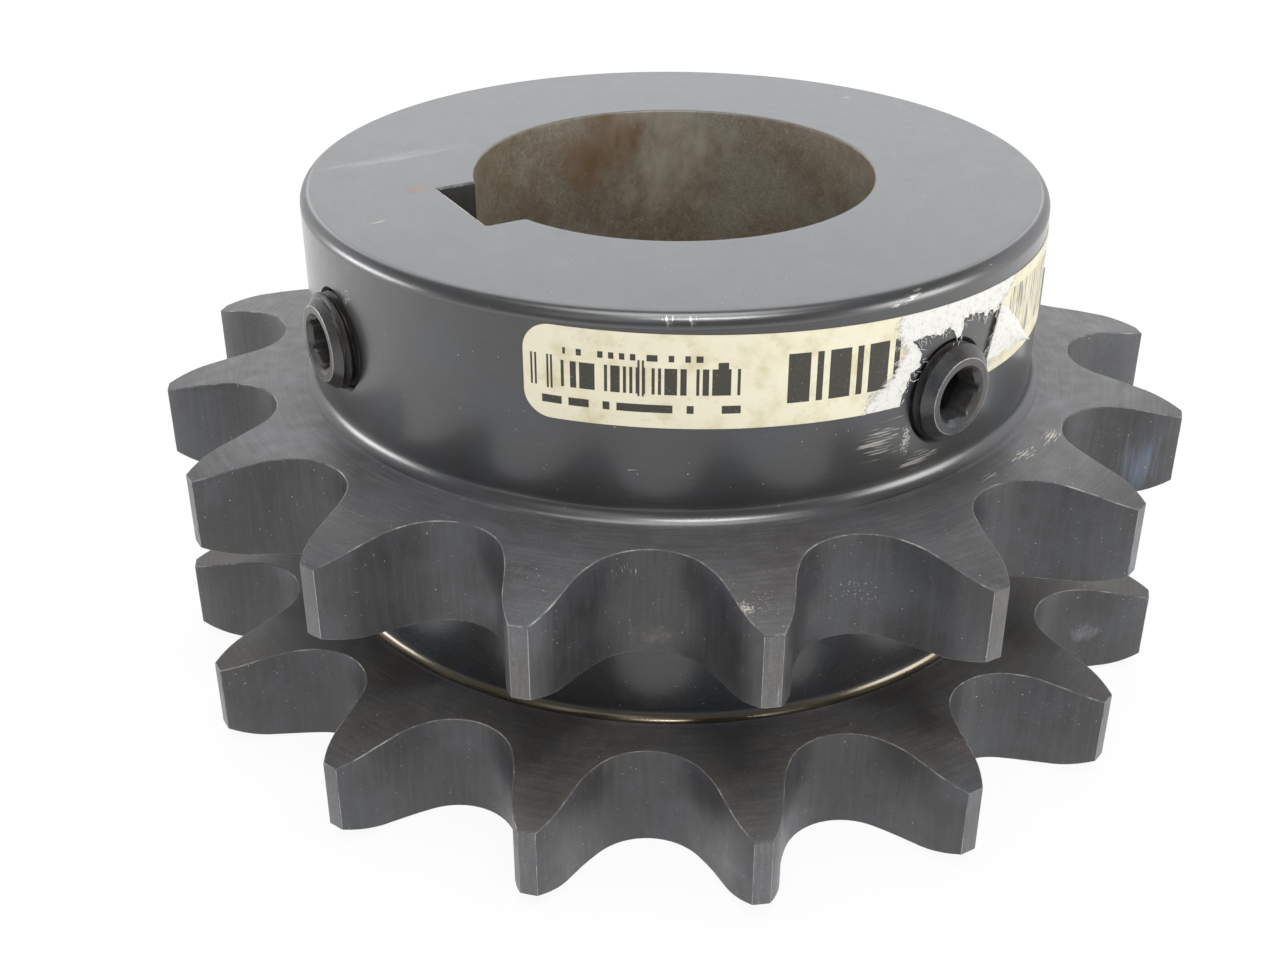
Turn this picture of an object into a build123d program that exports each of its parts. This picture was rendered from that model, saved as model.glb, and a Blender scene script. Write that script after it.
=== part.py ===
from build123d import *
import os
from math import acos, cos, degrees, radians, sin, sqrt, tan

os.makedirs("parts", exist_ok=True)

# Chain sprocket for a double-strand roller chain, with a hub on one side, a keyed finished bore,
# two set screws and a paper label round the hub.
# Millimetres. +Z runs along the bore axis towards the hub. The origin is on that axis, at the
# outer face of the lower tooth plate. The keyway is on -X.

# Roller chain
chain_pitch = 25.4
roller_diameter = 15.875
strand_spacing = 29.29  # centre to centre of the two strands

# Tooth plates
teeth = 16
first_tooth_azimuth = 1.5
tip_height = 6.652  # of the teeth above the pitch circle
plate_thickness = 14.15
relief_reach = 12.0  # how far in from the tips the curved side relief starts
relief_width = 2.2  # taken off each side of a tooth at its tip

# Hub, and the neck between the plates
hub_diameter = 101.6
length_through_bore = 69.85
hub_edge_radius = 1.6
hub_base_fillet = 2.0
neck_diameter = 101.6
neck_fillet = 1.5

# Bore and keyway
bore_diameter = 55.0
keyway_width = 16.0
keyway_depth = 4.3  # below the bore's wall
keyway_azimuth = 180.0

# Set screws, 1/2 inch, hexagon socket, cup point
screw_diameter = 12.7
screw_length = 19.05
rim_chamfer = 1.42
socket_across_flats = 6.35
socket_depth = 7.0
socket_lead_in_diameter = 7.8
cup_diameter = 6.0
cup_land = 0.2  # flat ring left round the cup
drill_point_angle = 118.0
thread_clearance = 0.05  # radial, between a screw and its hole

# Where each screw sits: azimuth, distance back from the hub's end face, how far it stands out of
# the hub, and how far its socket is turned
set_screws = {
    "key_set_screw": {"azimuth": 182.5, "set_back": 13.85, "projection": 2.55, "socket_turn": 30.0},
    "shaft_set_screw": {"azimuth": 281.0, "set_back": 14.85, "projection": 2.2, "socket_turn": -4.0},
}

# Paper label stuck round the hub
label_length = 102.0
label_width = 11.7
label_thickness = 0.12
label_start_azimuth = 220.3
label_set_back = 8.95  # its middle, from the hub's end face
label_tilt = 1.65  # it runs downhill as the azimuth grows
label_corner_radius = 3.3
glue_gap = 0.02

# Torn edge of the label round the shaft's set screw, in millimetres from the screw's axis: the first
# number along the hub's surface, the second towards the hub's end face
torn_edge = [
    (-8.6, -4.0), (-7.7, 1.7), (-6.4, 4.5), (-5.3, 4.6), (-5.2, 6.6), (-6.9, 8.6), (-4.4, 8.5),
    (-2.5, 8.1), (-0.7, 8.8), (1.2, 7.4), (1.7, 9.0), (5.6, 8.7), (6.0, 8.1), (9.5, 8.0),
    (8.9, 5.2), (7.6, 3.2), (7.9, -4.0),
]

# Worked out from the sizes above
half_tooth_angle = 180 / teeth
pitch_radius = chain_pitch / 2 / sin(radians(half_tooth_angle))
outside_radius = pitch_radius + tip_height
hub_radius = hub_diameter / 2
neck_radius = neck_diameter / 2
bore_radius = bore_diameter / 2
screw_radius = screw_diameter / 2
hole_radius = screw_radius + thread_clearance
toothed_width = strand_spacing + plate_thickness
cut_margin = 2.0  # how far a cutting shape runs past what it cuts


# Tooth gap: the standard form for roller chain, worked out for a gap centred on +X. It has a
# seating arc, a working arc, a short flat and a topping arc, then the same mirrored.
seating_radius = (1.005 * roller_diameter + 0.0762) / 2
seating_angle = 35 + 60 / teeth
working_angle = 18 - 56 / teeth
working_radius = 1.3025 * roller_diameter + 0.0381
working_offset = 0.8 * roller_diameter
flat_angle = 17 - 64 / teeth
topping_offset = 1.4 * roller_diameter
flat_length = topping_offset * sin(radians(flat_angle)) - working_offset * sin(radians(working_angle))
topping_radius = (
    working_offset * cos(radians(working_angle))
    + topping_offset * cos(radians(flat_angle))
    - working_radius
)
point_height = sqrt(topping_radius**2 - (topping_offset - chain_pitch / 2) ** 2)

seating_centre = Vector(pitch_radius, 0)
working_centre = seating_centre + Vector(working_offset, 0).rotate(Axis.Z, seating_angle - 90)
topping_centre = seating_centre + Vector(topping_offset, 0).rotate(Axis.Z, 90 + half_tooth_angle)
flat_direction = seating_angle - working_angle
topping_start = flat_direction - 90
topping_end = half_tooth_angle - degrees(acos(point_height / topping_radius))
outlet_angle = half_tooth_angle + 45  # past the tooth's point the gap only opens out

with BuildSketch() as tooth_gap:
    with BuildLine() as flank:
        seating_arc = CenterArc(seating_centre, seating_radius, 180, seating_angle - 90)
        working_arc = CenterArc(working_centre, working_radius, 90 + seating_angle, -working_angle)
        flat = PolarLine(working_arc @ 1, flat_length, flat_direction)
        topping_arc = CenterArc(topping_centre, topping_radius, topping_start, topping_end - topping_start)
        outlet = PolarLine(topping_arc @ 1, outside_radius, outlet_angle)
        closing = Line(outlet @ 1, ((outlet @ 1).X, 0))
        mirror(about=Plane.XZ)
    make_face()


def radial_plane(azimuth, radius, height):
    """A plane that faces straight out from the bore axis: its X runs round with the azimuth, its Y is up."""
    outwards = Vector(1, 0).rotate(Axis.Z, azimuth)
    centre = outwards * radius + Vector(0, 0, height)
    return Plane(origin=centre, x_dir=outwards.rotate(Axis.Z, 90), z_dir=outwards)


def rings_at(height, radius):
    """The sprocket's circular edges of one radius, at one height."""
    rings = sprocket.edges().filter_by(GeomType.CIRCLE)
    at_height = rings.filter_by(lambda ring: abs(ring.center().Z - height) < 0.01)
    return at_height.filter_by(lambda ring: abs(ring.radius - radius) < 0.01)


# Sprocket: one steel piece
with BuildPart() as sprocket:
    with BuildSketch() as neck_section:
        Circle(neck_radius)
    extrude(amount=toothed_width)
    with BuildSketch(Plane.XY.offset(toothed_width)) as hub_section:
        Circle(hub_radius)
    extrude(amount=length_through_bore - toothed_width)

    for plate_base in (0, strand_spacing):
        plate_top = plate_base + plate_thickness
        relief_start = outside_radius - relief_reach
        with BuildSketch(Plane.XZ) as plate_section:
            with BuildLine() as plate_outline:
                lower_relief = TangentArc(
                    (relief_start, plate_base), (outside_radius, plate_base + relief_width), tangent=(1, 0)
                )
                upper_relief = TangentArc(
                    (relief_start, plate_top), (outside_radius, plate_top - relief_width), tangent=(1, 0)
                )
                tip_land = Line(lower_relief @ 1, upper_relief @ 1)
                web = Polyline(lower_relief @ 0, (0, plate_base), (0, plate_top), upper_relief @ 0)
            make_face()
        revolve(axis=Axis.Z)

    fillet(rings_at(length_through_bore, hub_radius), hub_edge_radius)
    fillet(rings_at(toothed_width, hub_radius), hub_base_fillet)
    fillet(rings_at(plate_thickness, neck_radius) + rings_at(strand_spacing, neck_radius), neck_fillet)

    with BuildSketch() as all_gaps:
        with PolarLocations(0, teeth, start_angle=first_tooth_azimuth + half_tooth_angle):
            add(tooth_gap.sketch)
    extrude(amount=toothed_width, mode=Mode.SUBTRACT)

    with BuildSketch() as bore_section:
        Circle(bore_radius)
        with Locations(Location((0, 0), keyway_azimuth)):
            Rectangle(bore_radius + keyway_depth, keyway_width, align=(Align.MIN, Align.CENTER))
    extrude(amount=length_through_bore, mode=Mode.SUBTRACT)

    for place in set_screws.values():
        hole_height = length_through_bore - place["set_back"]
        with BuildSketch(radial_plane(place["azimuth"], 0, hole_height)) as hole_section:
            Circle(hole_radius)
        extrude(amount=hub_radius + cut_margin, mode=Mode.SUBTRACT)

sprocket.part.label = "sprocket"
export_step(sprocket.part, "parts/sprocket.step")


# Set screws: each one is built on its outer face, with that plane's normal pointing out of the hub.
# The thread is left at its major diameter.
cup_radius = cup_diameter / 2
point_chamfer = screw_radius - cup_radius - cup_land
drill_slope = tan(radians(drill_point_angle / 2))
socket_radius = socket_across_flats / 2
lead_in_radius = socket_lead_in_diameter / 2

for name, place in set_screws.items():
    screw_height = length_through_bore - place["set_back"]
    face_plane = radial_plane(place["azimuth"], hub_radius + place["projection"], screw_height)
    with BuildPart(face_plane) as screw:
        Cylinder(screw_radius, screw_length, align=(Align.CENTER, Align.CENTER, Align.MAX))
        ends = edges().filter_by(GeomType.CIRCLE).sort_by(Axis(face_plane.origin, face_plane.z_dir))
        chamfer(ends[-1], rim_chamfer)
        chamfer(ends[0], point_chamfer)
        with BuildSketch(face_plane) as socket_section:
            RegularPolygon(socket_radius, 6, major_radius=False, rotation=place["socket_turn"])
        extrude(amount=-socket_depth, mode=Mode.SUBTRACT)
        Cone(
            socket_radius - (lead_in_radius - socket_radius), lead_in_radius, 2 * (lead_in_radius - socket_radius),
            align=(Align.CENTER, Align.CENTER, Align.MAX), mode=Mode.SUBTRACT,
        )
        with Locations((0, 0, -socket_depth)):
            Cone(
                0, socket_radius, socket_radius / drill_slope,
                align=(Align.CENTER, Align.CENTER, Align.MAX), mode=Mode.SUBTRACT,
            )
        with Locations((0, 0, -screw_length)):
            Cone(
                cup_radius, 0, cup_radius / drill_slope,
                align=(Align.CENTER, Align.CENTER, Align.MIN), mode=Mode.SUBTRACT,
            )
    screw.part.label = name
    export_step(screw.part, f"parts/{name}.step")


# Label: a strip of a thin ring round the hub. Its outline is drawn as seen straight on at its middle,
# so its ends and their round corners are foreshortened there. A torn notch clears the shaft's screw.
label_half_angle = degrees(label_length / hub_radius) / 2
label_height = length_through_bore - label_set_back
label_chord = 2 * hub_radius * sin(radians(label_half_angle))
corner_reach = label_corner_radius * cos(radians(label_half_angle))
torn_screw = set_screws["shaft_set_screw"]

with BuildPart() as label:
    with BuildSketch(Plane.XY.offset(label_height)) as ring_section:
        Circle(hub_radius + glue_gap + label_thickness)
        Circle(hub_radius + glue_gap, mode=Mode.SUBTRACT)
    extrude(amount=label_width, both=True)
    with BuildSketch(radial_plane(label_start_azimuth + label_half_angle, 0, label_height)) as outline:
        with Locations(Location((0, 0), -label_tilt)):
            Rectangle(label_chord - 2 * corner_reach, label_width)
            Rectangle(label_chord, label_width - 2 * label_corner_radius)
            with GridLocations(label_chord - 2 * corner_reach, label_width - 2 * label_corner_radius, 2, 2):
                Ellipse(corner_reach, label_corner_radius)
    extrude(amount=outside_radius, mode=Mode.INTERSECT)
    torn_height = length_through_bore - torn_screw["set_back"]
    with BuildSketch(radial_plane(torn_screw["azimuth"], 0, torn_height)) as torn_notch:
        with BuildLine():
            Polyline(torn_edge, close=True)
        make_face()
    extrude(amount=outside_radius, mode=Mode.SUBTRACT)

label.part.label = "label"
export_step(label.part, "parts/label.step")
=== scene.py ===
from functools import partial
from math import asin, atan2, cos, degrees, pi, radians, sin, sqrt, tan
from types import SimpleNamespace

import bpy
import numpy as np
from mathutils import Matrix, Vector
from mathutils.geometry import delaunay_2d_cdt


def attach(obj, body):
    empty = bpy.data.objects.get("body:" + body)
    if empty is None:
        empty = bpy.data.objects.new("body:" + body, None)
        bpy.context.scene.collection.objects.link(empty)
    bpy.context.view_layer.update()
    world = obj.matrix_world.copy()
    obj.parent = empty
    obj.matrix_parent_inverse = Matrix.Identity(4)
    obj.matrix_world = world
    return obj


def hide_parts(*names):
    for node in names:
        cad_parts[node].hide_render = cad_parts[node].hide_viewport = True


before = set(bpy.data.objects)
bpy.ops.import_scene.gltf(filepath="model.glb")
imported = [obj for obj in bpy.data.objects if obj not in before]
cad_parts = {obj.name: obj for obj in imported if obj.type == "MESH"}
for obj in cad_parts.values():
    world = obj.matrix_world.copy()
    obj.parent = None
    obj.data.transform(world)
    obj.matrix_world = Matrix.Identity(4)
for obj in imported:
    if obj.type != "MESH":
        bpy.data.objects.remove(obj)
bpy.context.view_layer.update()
scene = bpy.context.scene
mm = 0.001
smooth = {"interpolation_type": "SMOOTHSTEP"}  # eases a MapRange
tint = {"data_type": "RGBA"}  # makes a Mix take colours
print("frame loaded:", sorted(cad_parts))


def linear(hexColour):
    # sRGB hex to the linear colour that the shaders take
    channels = [int(hexColour[i:i + 2], 16) / 255 for i in (1, 3, 5)]
    return tuple(c / 12.92 if c <= 0.04045 else ((c + 0.055) / 1.055) ** 2.4 for c in channels) + (1.0,)


def put(tree, kind, *values, output=0, **settings):
    # adds a shader node; its operation may follow its kind. Values go to its sockets in turn, and settings to
    # the property or socket they name, with _ for a space. A socket takes a value or another node's output
    kind, *operation = kind.split()
    node = tree.nodes.new("ShaderNode" + kind)
    if operation:
        node.operation = operation[0]
    named = []
    for name, value in settings.items():
        socket = node.inputs.get(name.replace("_", " "))
        if socket is None:
            setattr(node, name, value)
        else:
            named.append((socket, value))
    enabled = [socket for socket in node.inputs if socket.enabled]
    for socket, value in [*zip(enabled, values), *named]:
        if isinstance(value, bpy.types.NodeSocket):
            tree.links.new(value, socket)
        else:
            socket.default_value = value
    if output is None or not node.outputs:
        return node
    return node.outputs[output] if output else next(socket for socket in node.outputs if socket.enabled)


def newMaterial(name):
    # an empty material, and the function that adds nodes to it
    material = bpy.data.materials.new(name)
    material.use_nodes = True
    material.node_tree.nodes.clear()
    return material, partial(put, material.node_tree)


def blotches(add, vector, scale, detail, roughness, low, high, least=0.0, most=1.0):
    # noise that turns smoothly from least to most between its levels low and high
    noise = add("TexNoise", vector, scale, detail, roughness)
    return add("MapRange", noise, low, high, least, most, **smooth)


def circle(angle):
    # unit vectors in plan
    return np.stack([np.cos(angle), np.sin(angle)], -1)


def raised(plan, height):
    return np.column_stack([plan, np.broadcast_to(height, len(plan))])


def ringFaces(rings, columns, closed=False):
    # quads between each ring and the next; the columns always close on themselves
    ring = np.arange(rings if closed else rings - 1)[:, None]
    column = np.arange(columns)[None, :]
    nextRing, nextColumn = (ring + 1) % rings, (column + 1) % columns
    corners = [ring * columns + column, ring * columns + nextColumn,
               nextRing * columns + nextColumn, nextRing * columns + column]
    return np.stack(corners, axis=-1).reshape(-1, 4)


def meshFrom(name, points, faces, materials, faceMaterial=None, sharpAngle=38):
    # points in millimetres, any leading shape; faces as a list of polygons
    mesh = bpy.data.meshes.new(name)
    mesh.from_pydata((points.reshape(-1, 3) * mm).tolist(), [], faces)
    for material in materials:
        mesh.materials.append(material)
    if faceMaterial is not None:
        mesh.polygons.foreach_set("material_index", np.asarray(faceMaterial, np.int32).ravel())
    mesh.polygons.foreach_set("use_smooth", np.ones(len(mesh.polygons), bool))
    mesh.set_sharp_from_angle(angle=radians(sharpAngle))
    mesh.update()
    piece = bpy.data.objects.new(name, mesh)
    scene.collection.objects.link(piece)
    return piece


camera = {
    "place": (-109.10, -186.85, 141.77),  # mm
    "azimuth": 29.07,  # degrees it looks round from +Y towards +X
    "tilt": -29.233, "roll": 0.134,
    "lens": 45.76, "sensor": 36.0,  # mm
    "clip": (0.01, 20),  # m
}


def makeCamera():
    data = bpy.data.cameras.new("camera")
    data.lens, data.sensor_width = camera["lens"], camera["sensor"]
    data.clip_start, data.clip_end = camera["clip"]
    eye = bpy.data.objects.new("camera", data)
    scene.collection.objects.link(eye)
    turn, tilt, roll = (radians(camera[k]) for k in ("azimuth", "tilt", "roll"))
    ahead = Vector((sin(turn) * cos(tilt), cos(turn) * cos(tilt), sin(tilt)))
    level = Vector((cos(turn), -sin(turn), 0))
    above = level.cross(ahead)
    right = cos(roll) * level + sin(roll) * above
    up = -sin(roll) * level + cos(roll) * above
    axes = Matrix((right, up, -ahead)).transposed()
    eye.matrix_world = Matrix.Translation(Vector(camera["place"]) * mm) @ axes.to_4x4()
    scene.camera = eye


makeCamera()


# lengths in millimetres, angles in degrees
sprocket = {
    "pitch": 25.4, "roller": 15.875, "strandSpacing": 29.29,
    "teeth": 16, "firstTooth": 1.5, "tipHeight": 6.652, "plateThickness": 14.15,
    "reliefReach": 12.0, "reliefWidth": 2.2,  # how far in from the tips a plate thins, and by how much
    "hubRadius": 50.8, "length": 69.85, "hubEdge": 1.6, "hubFillet": 2.0,
    "neckRadius": 50.8, "neckFillet": 1.5,
    "boreRadius": 27.5, "keyHalfWidth": 8.0, "keyDepth": 4.3,
    "rimRound": 0.12, "rimClear": 0.25, "tipRound": 0.18, "boreRim": 0.30,
    "tipBend": 9,  # a tip's corner is where the outline turns by more
    "holeRadius": 6.42, "holeStart": 20.0,  # the start is inside the bore, from its axis
    "countersink": 0.12, "mouthDrop": 0.4,  # the drop is how far the round hub falls away beside a hole
}
setScrews = {
    "keySetScrew": {
        "node": "key_set_screw", "azimuth": 182.5, "height": 56.0, "projection": 2.55, "turn": 30.0},
    "shaftSetScrew": {
        "node": "shaft_set_screw", "azimuth": 281.0, "height": 55.0, "projection": 2.2, "turn": -4.0},
}


def arcPoints(centre, radius, start, end, steps, outward):
    # points on an arc and its unit normals; outward is 1 where the material lies inside the arc
    direction = circle(np.radians(np.linspace(start, end, steps + 1))[:-1])
    return centre + radius * direction, outward * direction


def toothOutline():
    # half a tooth gap is a seating arc, a working arc, a flat, a topping arc, a small round at the tip and
    # the tip's land; it is mirrored, then turned once for each gap. The standard for roller chain gives the
    # arcs' radii and angles from the roller and the number of teeth
    s = SimpleNamespace(**sprocket)
    half = 180 / s.teeth
    pitchRadius = s.pitch / 2 / sin(radians(half))
    outside = pitchRadius + s.tipHeight
    seatRadius = (1.005 * s.roller + 0.0762) / 2
    seatAngle, workAngle = 35 + 60 / s.teeth, 18 - 56 / s.teeth
    workRadius = 1.3025 * s.roller + 0.0381
    flatAngle = radians(17 - 64 / s.teeth)
    toppingRadius = s.roller * (0.8 * cos(radians(workAngle)) + 1.4 * cos(flatAngle)) - workRadius
    seat = np.array([pitchRadius, 0])
    work = seat + 0.8 * s.roller * np.array([sin(radians(seatAngle)), -cos(radians(seatAngle))])
    top = seat + 1.4 * s.roller * np.array([cos(radians(90 + half)), sin(radians(90 + half))])
    # the tip's round touches the topping arc and the outside circle from within
    reach, inner = toppingRadius - s.tipRound, outside - s.tipRound
    away = np.hypot(*top)
    along = (inner ** 2 - reach ** 2 + away ** 2) / (2 * away)
    across = sqrt(inner ** 2 - along ** 2)
    unit = top / away
    roundCentre = along * unit + across * np.array([unit[1], -unit[0]])
    toppingEnd = degrees(atan2(*(roundCentre - top)[::-1]))
    roundEnd = degrees(atan2(*roundCentre[::-1]))
    pieces = [
        arcPoints(seat, seatRadius, 180, 90 + seatAngle, 8, -1),
        arcPoints(work, workRadius, 90 + seatAngle, 90 + seatAngle - workAngle, 3, -1),
        arcPoints(top, toppingRadius, seatAngle - workAngle - 90, toppingEnd, 5, 1),
        arcPoints(roundCentre, s.tipRound, toppingEnd, roundEnd, 4, 1),
        arcPoints((0, 0), outside, roundEnd, half, 2, 1),
    ]
    landEnd = np.array([[cos(radians(half)), sin(radians(half))]])
    turns = radians(s.firstTooth + half) + np.arange(s.teeth) * 2 * pi / s.teeth
    c, n = np.cos(turns)[:, None], np.sin(turns)[:, None]

    def everyGap(halfGap, end):
        flip = np.array([1, -1])
        x, y = np.concatenate([end * flip, halfGap[:0:-1] * flip, halfGap]).T
        return np.stack([x * c - y * n, x * n + y * c], -1).reshape(-1, 2)

    points, normals = (np.concatenate([piece[i] for piece in pieces]) for i in (0, 1))
    return everyGap(points, outside * landEnd), everyGap(normals, landEnd), outside


def makeSprocket(materials):
    # rings of points round the axis: out over the underside, up over both plates, the neck and the hub, in
    # over the end face and down the bore. A ring's band names the material up to the next ring
    s = SimpleNamespace(**sprocket)
    outline, normals, outside = toothOutline()
    angle = np.arctan2(outline[:, 1], outline[:, 0]) % (2 * pi)
    # the keyway's corners get columns of their own
    floorX, half = s.boreRadius + s.keyDepth, s.keyHalfWidth
    corner, mouth = atan2(half, floorX), atan2(half, sqrt(s.boreRadius ** 2 - half ** 2))
    everyAngle = np.sort(np.concatenate([angle, pi + np.array([-mouth, -corner, corner, mouth])]))
    order = np.argsort(angle)
    spread = [np.interp(everyAngle, angle[order], column[order], period=2 * pi)
              for column in (*outline.T, *normals.T)]
    rim, rimNormal = np.stack(spread[:2], -1), np.stack(spread[2:], -1)
    rimNormal /= np.linalg.norm(rimNormal, axis=1, keepdims=True)
    around = circle(everyAngle)
    fromKey = np.abs(everyAngle - pi)

    def keyedBore(grow):
        # bore and keyway as one outline: the nearest of the circle, the keyway's walls and its floor, each
        # moved outwards by grow
        radius, wall, floor = s.boreRadius + grow, half + grow, floorX + grow
        onFloor = fromKey <= atan2(wall, floor) + 1e-9
        inKey = fromKey <= asin(wall / radius) + 1e-9
        reach = np.where(onFloor, floor / np.cos(fromKey), np.where(
            inKey, wall / np.sin(np.where(onFloor, 1.0, fromKey)), radius))
        return around * reach[:, None]

    def rimInset(away):
        return rim - rimNormal * away

    def hubInset(away):
        return around * (s.hubRadius - away)

    reliefRadius = (s.reliefReach ** 2 + s.reliefWidth ** 2) / (2 * s.reliefWidth)

    def drop(ring):
        # how far a plate's face falls back: an arc that starts where the side relief does
        past = np.maximum(np.linalg.norm(ring, axis=-1) - (outside - s.reliefReach), 0)
        return reliefRadius - np.sqrt(reliefRadius ** 2 - past ** 2)

    rows, bands = [], []

    def addRing(ring, height, band):
        rows.append(raised(ring, height))
        bands.append(band)

    def roundOver(ringAt, size, height, rise, start, end, names):
        # a quarter round between a flat and a wall: 0 degrees is on the flat at this height, 90 on the wall;
        # ringAt gives the ring that is this far from the wall
        for a, band in zip(np.radians(np.linspace(start, end, len(names))), names):
            ring = ringAt(size * (1 - sin(a)))
            addRing(ring, height + rise * (drop(ring) + size * (1 - cos(a))), band)

    def plateFace(height, up, inner, shares):
        # rings at these shares of the way from an inner ring to just short of the rim's round
        away = rimInset(s.rimRound) - inner
        away *= 1 - s.rimClear / np.linalg.norm(away, axis=1, keepdims=True)
        for share in shares:
            ring = inner + away * share
            addRing(ring, height - up * drop(ring), "face")

    def plateEdge(base):
        # the rims' rounds take the edge finish, whose light colour is partly a painted highlight
        roundOver(rimInset, s.rimRound, base, 1, 0, 90, ["edge"] * 3 + ["flank"])
        addRing(rim, base + s.plateThickness / 2, "flank")
        roundOver(rimInset, s.rimRound, base + s.plateThickness, -1, 90, 0, ["edge"] * 3 + ["face"])

    upper, lowerTop = s.strandSpacing, s.plateThickness
    upperTop = upper + s.plateThickness
    faceShares = (0.3, 0.45, 0.6, 0.72, 0.84, 0.93, 1.0)
    neckBands = ["face"] * 2 + ["gleam"] * 4 + ["neck"] * 3
    boreOuter = keyedBore(s.boreRim)
    addRing(boreOuter, 0.0, "face")
    plateFace(0.0, -1, boreOuter, (0.03, 0.45, 0.62, 0.74, 0.84, 0.93, 1.0))
    plateEdge(0.0)
    neckFoot = around * (s.neckRadius + s.neckFillet)
    plateFace(lowerTop, 1, neckFoot, faceShares[::-1])
    roundOver(lambda away: around * (s.neckRadius + away), s.neckFillet, lowerTop, 1, 0, 90, neckBands)
    roundOver(lambda away: around * (s.neckRadius + away), s.neckFillet, upper, -1, 90, 0, neckBands[::-1])
    plateFace(upper, -1, neckFoot, faceShares)
    plateEdge(upper)
    plateFace(upperTop, 1, around * (s.hubRadius + s.hubFillet), faceShares[::-1])
    roundOver(lambda away: hubInset(-away), s.hubFillet, upperTop, 1, 0, 90,
              ["face"] * 2 + ["fillet"] * 5 + ["hub"] * 2)
    low, high = upperTop + s.hubFillet, s.length - s.hubEdge
    for share in (0.02, 0.98):
        addRing(hubInset(0), low + (high - low) * share, "hub")
    roundOver(hubInset, s.hubEdge, s.length, -1, 90, 0, ["fillet"] * 7 + ["end"] * 2)
    hubTop = hubInset(s.hubEdge)
    for share in (0.03, 0.35, 0.7, 0.97, 1.0):
        addRing(hubTop + (boreOuter - hubTop) * share, s.length, "end")
    keyRim = len(rows) - 1
    roundOver(keyedBore, s.boreRim, s.length, -1, 30, 90, ["bore"] * 3)
    roundOver(keyedBore, s.boreRim, 0.0, 1, 90, 30, ["bore"] * 3)

    points = np.stack(rows)
    faces = ringFaces(len(rows), points.shape[1], True).tolist()
    names = list(materials)
    numbers = np.repeat(np.array([names.index(b) for b in bands])[:, None], points.shape[1], axis=1)

    def repaint(old, new, where):
        numbers[(numbers == names.index(old)) & where] = names.index(new)

    # along the flanks, columns on the outside circle are the tips' lands, and columns that turn sharply are
    # the tips' rubbed corners, whose light colour is also a painted highlight
    reach = np.linalg.norm(rim, axis=1)
    repaint("flank", "land", np.minimum(reach, np.roll(reach, -1)) > outside - 0.02)
    bend = np.sum(rimNormal * np.roll(rimNormal, -1, axis=0), axis=1)
    repaint("flank", "corner", bend < cos(radians(s.tipBend)))
    repaint("face", "lower", points[:, :1, 2] < lowerTop + 0.1)  # the lower strand's faces are browner
    # the keyway is black inside, and its rim is rubbed bright; the rim's light colour is also a painted
    # highlight
    inKeyway = np.maximum(fromKey, np.roll(fromKey, -1)) <= mouth + 0.02
    numbers[keyRim:, inKeyway] = names.index("keyway")
    numbers[keyRim:keyRim + 3, inKeyway] = names.index("edge")
    body = meshFrom("sprocketBody", points, faces, materials.values(), numbers)
    print("sprocket:", points.shape, "faces", len(faces))
    return body


def placeOnHub(local, place):
    # from points round the hub, up, and out from the bore's axis, to the part's frame
    turn = radians(place["azimuth"])
    along, outwards = np.array([-sin(turn), cos(turn), 0]), np.array([cos(turn), sin(turn), 0])
    up = np.array([0, 0, 1])
    return local[..., :1] * along + (local[..., 1:2] + place["height"]) * up + local[..., 2:3] * outwards


def drillHoles(body, material):
    # each tapped hole runs from the bore to the hub's surface, with a countersunk mouth
    s = SimpleNamespace(**sprocket)
    columns, past = 96, 3.0  # the cutter runs past the mouth on the countersink's slope
    mouth = s.hubRadius - s.mouthDrop
    profile = [(s.holeRadius, s.holeStart), (s.holeRadius, mouth - s.countersink),
               (s.holeRadius + s.countersink + past, mouth + past)]
    ring = circle(np.linspace(0, 2 * pi, columns, endpoint=False))
    local = np.stack([raised(ring * radius, height) for radius, height in profile])
    faces = ringFaces(3, columns).tolist()
    faces += [list(range(columns - 1, -1, -1)), list(range(2 * columns, 3 * columns))]
    for place in setScrews.values():
        cutter = meshFrom("cutter", placeOnHub(local, place), faces, [material])
        cut = body.modifiers.new("hole", "BOOLEAN")
        cut.operation, cut.object, cut.solver = "DIFFERENCE", cutter, "EXACT"
        cut.material_mode = "TRANSFER"
        bpy.context.view_layer.update()
        drilled = body.evaluated_get(bpy.context.evaluated_depsgraph_get())
        finished = bpy.data.meshes.new_from_object(drilled)
        body.modifiers.clear()
        body.data = finished
        bpy.data.objects.remove(cutter)
    body.data.set_sharp_from_angle(angle=radians(38))
    print("holes drilled:", len(body.data.polygons), "faces")


# Black oxide is a film of magnetite a few micrometres thick on turned steel, kept oiled. It is blue-black
# where it is thick and brown where it is thin, and the tool marks show through it. Magnetite's IOR is near
# 2.4, so a close film mirrors more than paint does. The oil on it is a smooth coat of its own.
oxide = {
    "marks": "turned", "density": 3.0, "marksDepth": 0.004,  # tool marks for each mm, and their depth in mm
    "cool": "#4d4e52", "warm": "#474546", "light": "#666669", "lightShare": 0.45,
    "steel": "#b4b0a8", "wearScale": 1.6, "wear": (0.74, 0.84),  # noise per mm, and where bare steel starts
    "dust": (0.875, 0.89), "rough": 0.42, "roughSpread": 0.16, "ior": 1.5, "metal": 0.85,
    "oil": 0.0, "oilRough": 0.22, "sheen": "#ffffff",  # the sheen tints what the film mirrors
    "grit": 0.20,  # how far the fine grain lightens and darkens the film
}


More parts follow.
